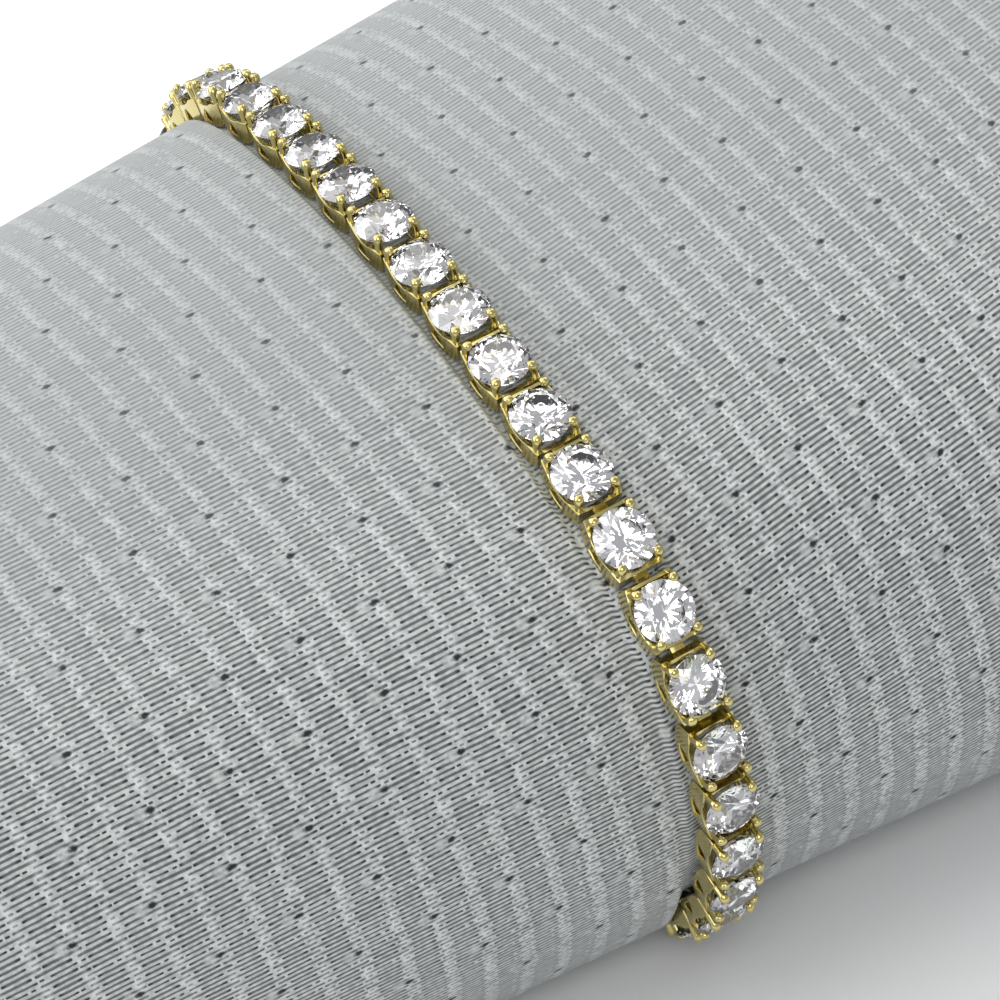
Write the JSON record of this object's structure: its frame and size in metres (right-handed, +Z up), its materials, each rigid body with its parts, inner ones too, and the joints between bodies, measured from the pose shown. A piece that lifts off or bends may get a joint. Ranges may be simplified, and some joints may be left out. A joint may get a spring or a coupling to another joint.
{
  "type": "tennis bracelet on a display roll",
  "caption": "Four-prong tennis bracelet of hinged gold-coloured links with round clear stones, closed round a knit-covered display roll with a flat underside",
  "frame": {"origin": "bottom centre of the bounding box, on the ground under the roll", "axes": "+X along the roll towards its thicker end, +Z up; the bracelet goes round the roll in the plane X = 0"},
  "size_m": [0.116, 0.0762, 0.0469],
  "materials": {
    "gold": "polished yellow gold plating",
    "stone": "faceted colourless cubic zirconia",
    "fabric": "light grey fine knit with small eyelets"
  },
  "bodies": {
    "root": {"link_01": "gold", "link_02": "gold", "link_03": "gold", "link_04": "gold", "link_05": "gold", "link_06": "gold", "link_07": "gold", "link_08": "gold", "link_09": "gold", "link_10": "gold", "link_11": "gold", "link_12": "gold", "link_13": "gold", "link_14": "gold", "link_15": "gold", "link_16": "gold", "link_17": "gold", "link_18": "gold", "link_19": "gold", "link_20": "gold", "link_21": "gold", "link_22": "gold", "link_23": "gold", "link_24": "gold", "link_25": "gold", "link_26": "gold", "link_27": "gold", "link_28": "gold", "link_29": "gold", "link_30": "gold", "link_31": "gold", "link_32": "gold", "link_33": "gold", "link_34": "gold", "link_35": "gold", "link_36": "gold", "link_37": "gold", "link_38": "gold", "clasp": "gold", "display_roll": "fabric"}
  },
  "joints": []
}
